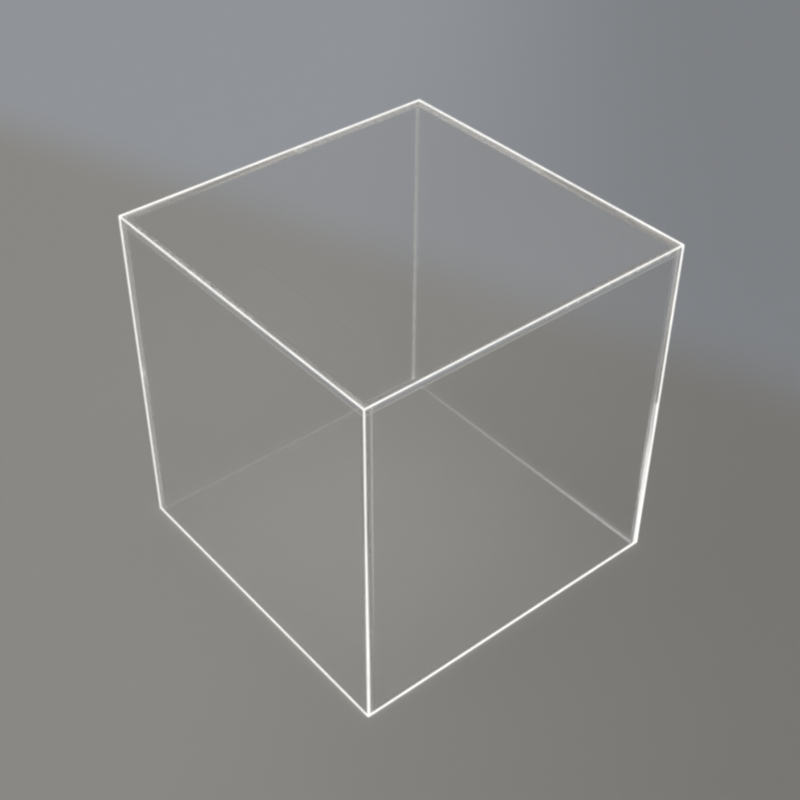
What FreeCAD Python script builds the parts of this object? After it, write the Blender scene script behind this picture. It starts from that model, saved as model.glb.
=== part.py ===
"""Five-sided clear acrylic display cube, open at the bottom, in millimetres.

Four walls and a lid are cut from cast acrylic sheet and cemented edge to edge. The left and right walls
run the full depth and cover the ends of the front and back walls, and the lid lies over all four. Each
joint is a thin line of cement with a small bead in the inside corner. Every outside edge has a scraped
arris. The origin is the centre of the open mouth: +X is right, +Y is back and +Z is up.
"""
import FreeCAD, Part
import os

V = FreeCAD.Vector

# Driving dimensions
WIDTH = 300.0  # outside, left to right
DEPTH = 300.0  # outside, front to back
WALL_HEIGHT = 300.0  # the walls as cut, from the surface they stand on to the cement under the lid
SHEET = 6.0  # thickness of the acrylic sheet
BOND = 0.2  # thickness of a line of cement
BEAD = 1.0  # leg of the cement bead in an inside corner
BEAD_HOLLOW = 0.15  # how far the middle of the bead's face lies below a flat one
ARRIS = 0.3  # leg of the bevel scraped on the outside edges
MOUTH_ARRIS = 0.3  # leg of the bevel on the mouth's inside edge

# Places that follow from them
HALF_X = WIDTH / 2
HALF_Y = DEPTH / 2
INNER_X = HALF_X - SHEET
INNER_Y = HALF_Y - SHEET
LID_UNDERSIDE = WALL_HEIGHT + BOND
OVERALL_HEIGHT = LID_UNDERSIDE + SHEET


def box(low, high):
    """A block between two opposite corners."""
    return Part.makeBox(high[0] - low[0], high[1] - low[1], high[2] - low[2], V(*low))


def arrised_block():
    """The cube's outside as one block, with a bevel on all twelve edges."""
    block = box((-HALF_X, -HALF_Y, 0), (HALF_X, HALF_Y, OVERALL_HEIGHT))
    return block.makeChamfer(ARRIS, block.Edges)


def rectangle(half_x, half_y, z):
    """A closed rectangular wire, centred on the axis at height z."""
    corners = [V(-half_x, -half_y, z), V(half_x, -half_y, z), V(half_x, half_y, z), V(-half_x, half_y, z)]
    return Part.makePolygon(corners + corners[:1])


def cavity():
    """The room inside, with the bevel at the mouth's inside edge."""
    room = box((-INNER_X, -INNER_Y, -SHEET), (INNER_X, INNER_Y, LID_UNDERSIDE))
    mouth = rectangle(INNER_X + MOUTH_ARRIS, INNER_Y + MOUTH_ARRIS, 0)
    throat = rectangle(INNER_X, INNER_Y, MOUTH_ARRIS)
    return room.fuse(Part.makeLoft([mouth, throat], True, True))


SHELL = arrised_block().cut(cavity())


def in_shell(low, high):
    """The piece of the finished shell that lies in a block, so neighbouring pieces share its bevels."""
    return SHELL.common(box(low, high))


def lid():
    return in_shell((-HALF_X, -HALF_Y, LID_UNDERSIDE), (HALF_X, HALF_Y, OVERALL_HEIGHT))


def side_wall(side):
    """The left wall for side -1 and the right wall for side 1, over the full depth."""
    near, far = sorted((side * INNER_X, side * HALF_X))
    return in_shell((near, -HALF_Y, 0), (far, HALF_Y, WALL_HEIGHT))


def end_wall(end):
    """The front wall for end -1 and the back wall for end 1, between the two side walls."""
    near, far = sorted((end * INNER_Y, end * HALF_Y))
    half = INNER_X - BOND
    return in_shell((-half, near, 0), (half, far, WALL_HEIGHT))


def bead(corner, across, down, along):
    """A cement bead with a hollow face, in the inside corner at a point.

    across and down are the unit vectors along the two faces that it joins, and along is its length.
    """
    tips = (corner + across * BEAD, corner + down * BEAD)
    hollow = corner + (across + down) * (BEAD / 2 - BEAD_HOLLOW / 2**0.5)
    outline = Part.Wire([
        Part.makeLine(corner, tips[0]),
        Part.Arc(tips[0], hollow, tips[1]).toShape(),
        Part.makeLine(tips[1], corner),
    ])
    return Part.Face(outline).extrude(along)


def lid_bead_on_side(side):
    """The bead under the lid along a side wall, over the inside depth."""
    corner = V(side * INNER_X, -INNER_Y, LID_UNDERSIDE)
    return bead(corner, V(-side, 0, 0), V(0, 0, -1), V(0, 2 * INNER_Y, 0))


def lid_bead_on_end(end):
    """The bead under the lid along the front or back wall, mitred against the side walls' beads."""
    corner = V(-INNER_X, end * INNER_Y, LID_UNDERSIDE)
    full = bead(corner, V(0, -end, 0), V(0, 0, -1), V(2 * INNER_X, 0, 0))
    return full.cut(lid_bead_on_side(-1)).cut(lid_bead_on_side(1))


def upright_bead(side, end):
    """The bead in an upright inside corner, from above the mouth's bevel to the beads under the lid."""
    corner = V(side * INNER_X, end * INNER_Y, MOUTH_ARRIS)
    full = bead(corner, V(-side, 0, 0), V(0, -end, 0), V(0, 0, LID_UNDERSIDE - MOUTH_ARRIS))
    return full.cut(lid_bead_on_side(side)).cut(lid_bead_on_end(end))


def side_lid_seam(side):
    """The cement between the lid and a side wall."""
    near, far = sorted((side * INNER_X, side * HALF_X))
    line = in_shell((near, -HALF_Y, WALL_HEIGHT), (far, HALF_Y, LID_UNDERSIDE))
    return line.fuse(lid_bead_on_side(side))


def end_lid_seam(end):
    """The cement between the lid and the front or back wall, from one side wall's cement to the other's."""
    near, far = sorted((end * INNER_Y, end * HALF_Y))
    line = in_shell((-INNER_X, near, WALL_HEIGHT), (INNER_X, far, LID_UNDERSIDE))
    return line.fuse(lid_bead_on_end(end))


def upright_seam(side, end):
    """The cement between a side wall and the end of the front or back wall."""
    x_near, x_far = sorted((side * (INNER_X - BOND), side * INNER_X))
    y_near, y_far = sorted((end * INNER_Y, end * HALF_Y))
    line = in_shell((x_near, y_near, 0), (x_far, y_far, WALL_HEIGHT))
    return line.fuse(upright_bead(side, end))


def pieces():
    """Every sub-part, by its node's name."""
    sides = {"left": -1, "right": 1}
    ends = {"front": -1, "back": 1}
    made = {"top_panel": lid()}
    for name, side in sides.items():
        made[name + "_panel"] = side_wall(side)
        made["top_" + name + "_seam"] = side_lid_seam(side)
    for name, end in ends.items():
        made[name + "_panel"] = end_wall(end)
        made["top_" + name + "_seam"] = end_lid_seam(end)
        for side_name, side in sides.items():
            made[name + "_" + side_name + "_seam"] = upright_seam(side, end)
    return made


def main():
    os.makedirs("parts", exist_ok=True)
    for name, shape in pieces().items():
        solid = shape.removeSplitter()
        if len(solid.Solids) != 1 or not solid.isValid():
            raise ValueError(name + " is not one valid solid")
        solid.Solids[0].exportStep("parts/" + name + ".step")
        print(name, round(solid.Volume, 1), "mm3")


main()
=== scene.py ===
import math

import bmesh
import bpy
from mathutils import Matrix, Vector


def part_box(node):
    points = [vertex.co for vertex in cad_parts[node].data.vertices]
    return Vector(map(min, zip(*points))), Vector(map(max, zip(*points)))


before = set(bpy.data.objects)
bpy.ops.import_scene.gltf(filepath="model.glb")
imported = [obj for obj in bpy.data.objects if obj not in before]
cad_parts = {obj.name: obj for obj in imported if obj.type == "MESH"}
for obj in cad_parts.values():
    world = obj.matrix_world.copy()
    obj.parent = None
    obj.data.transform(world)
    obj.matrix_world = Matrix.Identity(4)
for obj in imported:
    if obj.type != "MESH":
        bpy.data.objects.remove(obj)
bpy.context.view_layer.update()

# Sizes read from the frame, in metres
top_low, top_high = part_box("top_panel")
right_low, right_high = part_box("right_panel")
back_low, back_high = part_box("back_panel")
front_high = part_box("front_panel")[1]
seam_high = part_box("front_left_seam")[1]
HALF_X = right_high.x
HALF_Y = back_high.y
TALL = top_high.z
INNER_X = right_low.x
INNER_Y = back_low.y
LID_UNDERSIDE = top_low.z
BOND = INNER_X - front_high.x
BEAD = seam_high.x + INNER_X

# Where the photographer stands, and the lens in millimetres
CAMERA_AT = Vector((-0.5627, -0.6776, 0.8585))
CAMERA_YAW = math.radians(52.06)  # from +X towards +Y
CAMERA_PITCH = math.radians(39.10)  # below the horizon
CAMERA_ROLL = math.radians(0.85)  # its left side is the higher one
SENSOR = 36.0
LENS = 62.19
SHIFT = 0.0474  # the picture's middle lies this share of its width to the right of the lens's middle
PICTURE_SOFTNESS = 3.0  # width of the picture's own blur, in its dots

# How far light is followed in the sheets
BOUNCES = 96
CLEAR_SURFACES = 64  # joints that it may pass straight through

# Light of the room: dim walls and a bright ceiling
DIM_BELOW = math.radians(55)
BRIGHT_ABOVE = math.radians(70)
DIM_LIGHT = 0.27
BRIGHT_LIGHT = 1.8

# Two soft lights. Each has the direction it comes from, as a turn from +X towards +Y and a height above the
# horizon, the angles from its middle to its even core and to its faded rim, and its light.
SOFT_LIGHTS = (
    (152, 47, 8, 14, 1.5),
    (18, 40, 12, 42, 0.46),
)

# Floor paper with painted light: painted shade, paler to the back left, and a painted cool tint away from the
# camera.
# Each change runs in a direction turned from +X towards +Y, between two distances from the axis, in metres.
# paper colour with painted warm light near the camera and painted cool light far from it
NEAR_PAPER_PAINTED_WARM = (0.286, 0.276, 0.260)
FAR_PAPER_PAINTED_COOL = (0.319, 0.333, 0.356)
HUE_TURN = math.radians(19)
HUE_FROM = 0.30
HUE_TO = 0.44
# painted shade: the paper is lit more towards the back left
SHADE_TURN = math.radians(134)
SHADE_FROM = -0.34
SHADE_TO = 0.18
SHADE_LOW = 1.0
SHADE_HIGH = 1.36
GRAIN_SCALE = 900.0  # the paper's fibres, as noise cells per metre
GRAIN_DEPTH = 0.00003
GRAIN_TONE = 0.02
PAPER_ROUGHNESS = 0.9
PAPER_GLOSS = 0.1
NOISE_DETAIL = 2.0  # of the paper's grain and of the patches in the lines and the cement
FLOOR_HALF = 40.0
FLOOR_CELLS = 8
FLOOR_GAP = 0.0002  # the rim touches only at its high spots, so light is still mirrored inside it

# Clear acrylic, and which points lie on a face
ACRYLIC_IOR = 1.47  # a little under acrylic's 1.49, for a sheet a little under 6 mm
FLAT = 0.99  # a face along an axis has a normal component above this
SKIN = 0.00005  # a point this near a face lies on it

# Bright lines of painted glow along the outside edges, an emission that no lamp gives. A reach is how far
# they go from a face, in metres.
NEAR_REACH = 0.0009  # from the left, front and top faces
LEFT_FOOT_REACH = 0.0020  # from the left face where it is widest, at the foot
LEFT_SPREAD = (0.15, 0.7)  # where it starts to narrow and has its plain reach, as shares of the height
RIGHT_REACH = 0.0021
BACK_REACH = 0.0024
FOOT_REACH = 0.0027
# painted glow along the left, front and top faces
NEAR_LIGHT = 1.1
FAR_LIGHT = 1.35  # painted glow along the right and back faces and the foot
SHEET_END_LIGHT = 0.9  # painted glow on the end of the right sheet, beside its dry joint
SHEET_END_SHARE = 0.75  # how much of the painted glow shows at the foot; the rest there is the light that the dry joint mirrors
SHEET_END_FADE = (0.28, 0.55)  # where it starts to fade and is gone, as shares of the height
LINE_PATCHES = 60.0  # noise cells per metre
LINE_CHANGE = 0.2  # how much the painted glow changes from patch to patch
# colour of the painted glow
LINE_TINT = (1.0, 0.99, 0.96, 1)
CAMERA_RAY = 0.5  # a ray depth below this is the camera's own ray
SPILL = 0.5  # share of the lines' painted glow that lights the floor

# Joints: their pale lines of painted glow on the outside, and the cement's haze
SEAM_REACH = 0.0004  # half the width of the painted glow line where a joint meets an outside face
LID_SEAM_LIGHT = 0.42
UPRIGHT_SEAM_LIGHT = 0.5  # painted glow high on the joint
UPRIGHT_FOOT_LIGHT = 0.24
UPRIGHT_FADE = (0.1, 0.65)  # from the foot's light to the full light, as shares of the height
HAZE_TINT = (0.9, 0.9, 0.88, 1)
LID_HAZE = (0.04, 0.03)  # of the bead and of the joint itself
UPRIGHT_HAZE = (0.1, 0.03)
CLOUDY_HAZE = (0.3, 0.5)
CLOUDY_SEAM = "back_right_seam"
OUTSIDE_HAZE = 0.9  # of a joint where it comes out at an outside face
CLOUD_SCALE = 90.0  # patches in the cement, as noise cells per metre
CLOUD_CHANGE = 0.6


class Tree:
    """A shader node tree, with short ways to add nodes and link them."""

    def __init__(self, owner):
        owner.use_nodes = True
        self.tree = owner.node_tree
        self.tree.nodes.clear()

    def feed(self, socket, value):
        """Gives a socket a value, or links it to another node's output."""
        if isinstance(value, bpy.types.NodeSocket):
            self.tree.links.new(value, socket)
        else:
            socket.default_value = value

    def node(self, kind, inputs=None, **settings):
        made = self.tree.nodes.new("ShaderNode" + kind)
        for name, value in settings.items():
            setattr(made, name, value)
        for name, value in (inputs or {}).items():
            self.feed(made.inputs[name], value)
        return made

    def maths(self, operation, *values):
        made = self.node("Math", operation=operation)
        for socket, value in zip(made.inputs, values):
            self.feed(socket, value)
        return made.outputs[0]

    def fewest(self, a, b, c):
        return self.maths("MINIMUM", self.maths("MINIMUM", a, b), c)

    def most(self, a, b, c):
        return self.maths("MAXIMUM", self.maths("MAXIMUM", a, b), c)

    def middle(self, a, b, c):
        """The second of three values in order of size."""
        low = self.maths("MINIMUM", a, b)
        high = self.maths("MAXIMUM", a, b)
        return self.maths("MAXIMUM", low, self.maths("MINIMUM", high, c))

    def mix(self, share, first, second):
        """A shader that is first where share is 0 and second where it is 1."""
        made = self.node("MixShader")
        for socket, value in zip(made.inputs, (share, first, second)):
            self.feed(socket, value)
        return made.outputs[0]

    def finish(self, shader, kind="OutputMaterial"):
        self.tree.links.new(shader, self.node(kind).inputs["Surface"])


def split(tree, vector):
    return tree.node("SeparateXYZ", {"Vector": vector}).outputs


def place(tree):
    """A point of the object, in metres, in the frame."""
    return tree.node("TexCoord").outputs["Object"]


def depths(tree):
    """How far a point lies under the outside faces along each axis."""
    x, y, z = split(tree, place(tree))
    from_middle = tree.maths("ABSOLUTE", tree.maths("SUBTRACT", z, TALL / 2))
    return (
        tree.maths("SUBTRACT", HALF_X, tree.maths("ABSOLUTE", x)),
        tree.maths("SUBTRACT", HALF_Y, tree.maths("ABSOLUTE", y)),
        tree.maths("SUBTRACT", TALL / 2, from_middle),
    )


def ramp(tree, value, start, end, low, high):
    """A smooth change from low to high as the value goes from start to end."""
    made = tree.node("MapRange", {
        "Value": value,
        "From Min": start,
        "From Max": end,
        "To Min": low,
        "To Max": high,
    }, interpolation_type="SMOOTHSTEP")
    return made.outputs["Result"]


def outside_edge(tree):
    """1 in the narrow lines of painted glow along the outside edges and 0 elsewhere, and 1 near the far
    faces.
    """
    x, y, z = split(tree, place(tree))
    low, high = (TALL * share for share in LEFT_SPREAD)
    left_reach = ramp(tree, z, low, high, LEFT_FOOT_REACH, NEAR_REACH)
    lines = []
    far_faces = []
    for near_depth, near_reach, far_depth, far_reach in (
        (tree.maths("ADD", x, HALF_X), left_reach, tree.maths("SUBTRACT", HALF_X, x), RIGHT_REACH),
        (tree.maths("ADD", y, HALF_Y), NEAR_REACH, tree.maths("SUBTRACT", HALF_Y, y), BACK_REACH),
        (tree.maths("SUBTRACT", TALL, z), NEAR_REACH, z, FOOT_REACH),
    ):
        far = tree.maths("LESS_THAN", far_depth, far_reach)
        near = tree.maths("LESS_THAN", near_depth, near_reach)
        lines.append(tree.maths("MAXIMUM", near, far))
        far_faces.append(far)
    return tree.middle(*lines), tree.most(*far_faces)


def outside_seam(tree):
    """Painted glow lines where the joints meet the outside faces: 1 on a lid's joint, and 1 on an upright
    one.
    """
    x, y, z = split(tree, place(tree))
    at_lid = tree.maths("COMPARE", z, LID_UNDERSIDE, SEAM_REACH)
    at_side = tree.maths("COMPARE", tree.maths("ABSOLUTE", x), INNER_X, SEAM_REACH)
    on_lid_height = tree.maths("MULTIPLY", at_lid, on_skin(tree))
    on_end = tree.maths("GREATER_THAN", tree.maths("ABSOLUTE", y), HALF_Y - SKIN)
    return on_lid_height, tree.maths("MULTIPLY", at_side, on_end)


def sheet_end(tree):
    """Where painted glow lies: 1 on the front end of the right sheet, fading to 0 some way above the foot."""
    x, y, z = split(tree, place(tree))
    low, high = (TALL * share for share in SHEET_END_FADE)
    on_front = tree.maths("LESS_THAN", y, SKIN - HALF_Y)
    on_end = tree.maths("MULTIPLY", on_front, tree.maths("GREATER_THAN", x, INNER_X))
    return tree.maths("MULTIPLY", on_end, ramp(tree, z, low, high, 1.0, 0.0))


def on_skin(tree):
    """1 on the outside faces, and 0 under them."""
    return tree.maths("LESS_THAN", tree.fewest(*depths(tree)), SKIN)


def dry_joint(tree):
    """1 at the front right joint, which the cement has not wetted, so that its faces mirror."""
    x, y, z = split(tree, place(tree))
    at_joint = tree.maths("COMPARE", x, INNER_X - BOND / 2, BOND / 2 + SKIN)
    return tree.maths("MULTIPLY", at_joint, tree.maths("LESS_THAN", y, -INNER_Y))


def bonded(tree):
    """1 where sheet and cement meet face to face, so that light passes as through one solid."""
    x, y, z = split(tree, place(tree))
    past_walls = (
        tree.maths("SUBTRACT", tree.maths("ABSOLUTE", x), INNER_X),
        tree.maths("SUBTRACT", tree.maths("ABSOLUTE", y), INNER_Y),
        tree.maths("SUBTRACT", z, LID_UNDERSIDE),
    )
    near_joint = tree.maths("GREATER_THAN", tree.middle(*past_walls), -BEAD)
    under_skin = tree.maths("SUBTRACT", 1, on_skin(tree))
    normal = split(tree, tree.node("NewGeometry").outputs["True Normal"])
    sides = [tree.maths("ABSOLUTE", component) for component in normal]
    flat = tree.maths("GREATER_THAN", tree.most(*sides), FLAT)
    return tree.maths("MULTIPLY", flat, tree.maths("MULTIPLY", near_joint, under_skin))


def patches(tree, scale, change):
    """A factor around 1 that changes from patch to patch."""
    noise = tree.node("TexNoise", {"Vector": place(tree), "Scale": scale, "Detail": NOISE_DETAIL})
    return tree.maths("MULTIPLY_ADD", noise.outputs["Fac"], 2 * change, 1 - change)


def seen_directly(tree):
    """Where the painted glow shows: 1 for a surface with nothing in front of it, SPILL where it lights the
    floor, and else 0.
    """
    path = tree.node("LightPath").outputs
    spill = tree.maths("MULTIPLY", path["Is Diffuse Ray"], SPILL)
    return tree.maths("MAXIMUM", tree.maths("LESS_THAN", path["Ray Depth"], CAMERA_RAY), spill)


def clear_to_lamps(tree, shader):
    """Lets lamps shine through a shader without a dark shadow."""
    lamp = tree.node("LightPath").outputs["Is Shadow Ray"]
    return tree.mix(lamp, shader, tree.node("BsdfTransparent").outputs[0])


def painted_edge_glow(tree, body):
    """The body with painted glow, an emission, on its outside edges, its joints' outside lines and the end of
    the right sheet, standing in for the light that the sheets carry there.
    """
    line, far = outside_edge(tree)
    lid_seam, upright_seam = outside_seam(tree)
    even = tree.maths("MULTIPLY_ADD", far, FAR_LIGHT - NEAR_LIGHT, NEAR_LIGHT)
    edge_light = tree.maths("MULTIPLY", even, patches(tree, LINE_PATCHES, LINE_CHANGE))
    height = split(tree, place(tree))[2]
    low, high = (TALL * share for share in UPRIGHT_FADE)
    upright_light = ramp(tree, height, low, high, UPRIGHT_FOOT_LIGHT, UPRIGHT_SEAM_LIGHT)
    seam_light = tree.node("Mix", {"Factor": upright_seam, "A": LID_SEAM_LIGHT, "B": upright_light})
    end = sheet_end(tree)
    end_light = tree.maths("MULTIPLY", tree.maths("GREATER_THAN", end, 0.0), SHEET_END_LIGHT)
    line_light = tree.maths("MULTIPLY", line, edge_light)
    light = tree.most(line_light, seam_light.outputs["Result"], end_light)
    # the painted glow itself
    shine = tree.node("Emission", {"Color": LINE_TINT, "Strength": light})
    lit = tree.most(line, lid_seam, upright_seam)
    shown = tree.maths("MAXIMUM", lit, tree.maths("MULTIPLY", end, SHEET_END_SHARE))
    share = tree.maths("MULTIPLY", shown, seen_directly(tree))
    return tree.mix(share, body, shine.outputs[0])


def acrylic():
    """Clear cast acrylic, with painted glow along its outside edges and joints."""
    material = bpy.data.materials.new("clear_acrylic")
    tree = Tree(material)
    glass = tree.node("BsdfGlass", {"IOR": ACRYLIC_IOR, "Roughness": 0.0})
    body = painted_edge_glow(tree, glass.outputs[0])
    through = tree.maths("MULTIPLY", bonded(tree), tree.maths("SUBTRACT", 1, dry_joint(tree)))
    joined = tree.mix(through, body, tree.node("BsdfTransparent").outputs[0])
    tree.finish(clear_to_lamps(tree, joined))
    material.cycles.emission_sampling = "NONE"
    return material


def cement(name, bead_haze, joint_haze):
    """Set acrylic cement: nearly clear, with a milky haze in its bead and in the joint itself, and painted
    glow where it reaches the outside faces.
    """
    material = bpy.data.materials.new(name)
    tree = Tree(material)
    glass = tree.node("BsdfGlass", {"IOR": ACRYLIC_IOR, "Roughness": 0.0})
    front = tree.node("BsdfDiffuse", {"Color": HAZE_TINT})
    through = tree.node("BsdfTranslucent", {"Color": HAZE_TINT})
    haze = tree.mix(0.5, front.outputs[0], through.outputs[0])
    deep = tree.maths("GREATER_THAN", tree.fewest(*depths(tree)), SKIN)
    cloud = patches(tree, CLOUD_SCALE, CLOUD_CHANGE)
    share = tree.maths("MULTIPLY_ADD", deep, bead_haze - OUTSIDE_HAZE, OUTSIDE_HAZE)
    body = painted_edge_glow(tree, tree.mix(tree.maths("MULTIPLY", share, cloud), glass.outputs[0], haze))
    milk = tree.maths("MULTIPLY", cloud, joint_haze)
    joint = tree.mix(milk, tree.node("BsdfTransparent").outputs[0], haze)
    joined = tree.mix(bonded(tree), body, joint)
    tree.finish(clear_to_lamps(tree, joined))
    material.cycles.emission_sampling = "NONE"
    return material


def dress_nodes():
    """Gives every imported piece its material."""
    sheet = acrylic()
    lid_joint = cement("lid_cement", *LID_HAZE)
    upright_joint = cement("upright_cement", *UPRIGHT_HAZE)
    cloudy_joint = cement("cloudy_cement", *CLOUDY_HAZE)
    for name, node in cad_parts.items():
        if name.endswith("_panel"):
            material = sheet
        elif name.startswith("top_"):
            material = lid_joint
        else:
            material = cloudy_joint if name == CLOUDY_SEAM else upright_joint
        node.data.materials.clear()
        node.data.materials.append(material)


def across(tree, turn):
    """How far a point lies from the axis, in the direction turned from +X towards +Y."""
    along = tree.node("VectorMath", operation="DOT_PRODUCT")
    tree.feed(along.inputs[0], place(tree))
    tree.feed(along.inputs[1], (math.cos(turn), math.sin(turn), 0))
    return along.outputs["Value"]


def floor_material():
    """Plain paper with a fine grain and painted light on it: a painted cool tint away from the camera and
    painted shade that is paler to the back left.
    """
    material = bpy.data.materials.new("floor_paper")
    tree = Tree(material)
    hue = tree.node("Mix", data_type="RGBA")
    tree.feed(hue.inputs["Factor"], ramp(tree, across(tree, HUE_TURN), HUE_FROM, HUE_TO, 0.0, 1.0))
    tree.feed(hue.inputs[6], NEAR_PAPER_PAINTED_WARM + (1,))
    tree.feed(hue.inputs[7], FAR_PAPER_PAINTED_COOL + (1,))
    shade = tree.node("VectorMath", operation="SCALE")
    tree.feed(shade.inputs[0], hue.outputs[2])
    level = ramp(tree, across(tree, SHADE_TURN), SHADE_FROM, SHADE_TO, SHADE_LOW, SHADE_HIGH)
    grain = patches(tree, GRAIN_SCALE, GRAIN_TONE)
    tree.feed(shade.inputs["Scale"], tree.maths("MULTIPLY", level, grain))
    bump = tree.node("Bump", {"Height": grain, "Distance": GRAIN_DEPTH})
    paper = tree.node("BsdfPrincipled", {"Base Color": shade.outputs[0], "Roughness": PAPER_ROUGHNESS})
    tree.feed(paper.inputs["Specular IOR Level"], PAPER_GLOSS)
    tree.feed(paper.inputs["Normal"], bump.outputs[0])
    tree.finish(paper.outputs[0])
    return material


def make_floor():
    """A wide flat floor just under the rim."""
    shape = bmesh.new()
    bmesh.ops.create_grid(shape, x_segments=FLOOR_CELLS, y_segments=FLOOR_CELLS, size=FLOOR_HALF)
    bmesh.ops.translate(shape, verts=shape.verts, vec=(0, 0, -FLOOR_GAP))
    mesh = bpy.data.meshes.new("floor")
    shape.to_mesh(mesh)
    shape.free()
    mesh.materials.append(floor_material())
    floor = bpy.data.objects.new("floor", mesh)
    bpy.context.scene.collection.objects.link(floor)


def soft_light_seen(tree, turn, height, core, rim, light):
    """What a direction shows of one soft light."""
    turn, height = math.radians(turn), math.radians(height)
    middle = (math.cos(height) * math.cos(turn), math.cos(height) * math.sin(turn), math.sin(height))
    facing = tree.node("VectorMath", operation="DOT_PRODUCT")
    tree.feed(facing.inputs[0], tree.node("TexCoord").outputs["Generated"])
    tree.feed(facing.inputs[1], middle)
    away = tree.maths("ARCCOSINE", facing.outputs["Value"])
    return ramp(tree, away, math.radians(rim), math.radians(core), 0.0, light)


def make_light():
    """Even light from all round, brighter from overhead, and the soft lights."""
    world = bpy.data.worlds.new("room")
    bpy.context.scene.world = world
    tree = Tree(world)
    up = split(tree, tree.node("TexCoord").outputs["Generated"])[2]
    total = ramp(tree, tree.maths("ARCSINE", up), DIM_BELOW, BRIGHT_ABOVE, DIM_LIGHT, BRIGHT_LIGHT)
    for soft_light in SOFT_LIGHTS:
        total = tree.maths("MAXIMUM", total, soft_light_seen(tree, *soft_light))
    sky = tree.node("Background", {"Color": (1, 1, 1, 1), "Strength": total})
    tree.finish(sky.outputs[0], "OutputWorld")


def make_camera():
    """A camera at the photographer's place, turned by its yaw, pitch and roll."""
    ahead = Vector((
        math.cos(CAMERA_PITCH) * math.cos(CAMERA_YAW),
        math.cos(CAMERA_PITCH) * math.sin(CAMERA_YAW),
        -math.sin(CAMERA_PITCH),
    ))
    level = Vector((math.sin(CAMERA_YAW), -math.cos(CAMERA_YAW), 0))
    under = ahead.cross(level)
    right = level * math.cos(CAMERA_ROLL) + under * math.sin(CAMERA_ROLL)
    down = under * math.cos(CAMERA_ROLL) - level * math.sin(CAMERA_ROLL)
    lens = bpy.data.cameras.new("camera")
    lens.sensor_width = SENSOR
    lens.lens = LENS
    lens.shift_x = SHIFT
    camera = bpy.data.objects.new("camera", lens)
    bpy.context.scene.collection.objects.link(camera)
    turn = Matrix((right, -down, -ahead)).transposed()
    camera.matrix_world = Matrix.Translation(CAMERA_AT) @ turn.to_4x4()
    bpy.context.scene.camera = camera


def set_light_paths():
    """Long light paths, because light in a sheet is mirrored many times, and plain tones."""
    scene = bpy.context.scene
    for limit in ("max_bounces", "transmission_bounces", "glossy_bounces"):
        setattr(scene.cycles, limit, BOUNCES)
    scene.cycles.transparent_max_bounces = CLEAR_SURFACES
    scene.cycles.filter_width = PICTURE_SOFTNESS
    scene.view_settings.view_transform = "Standard"


make_camera()
make_light()
make_floor()
dress_nodes()
set_light_paths()
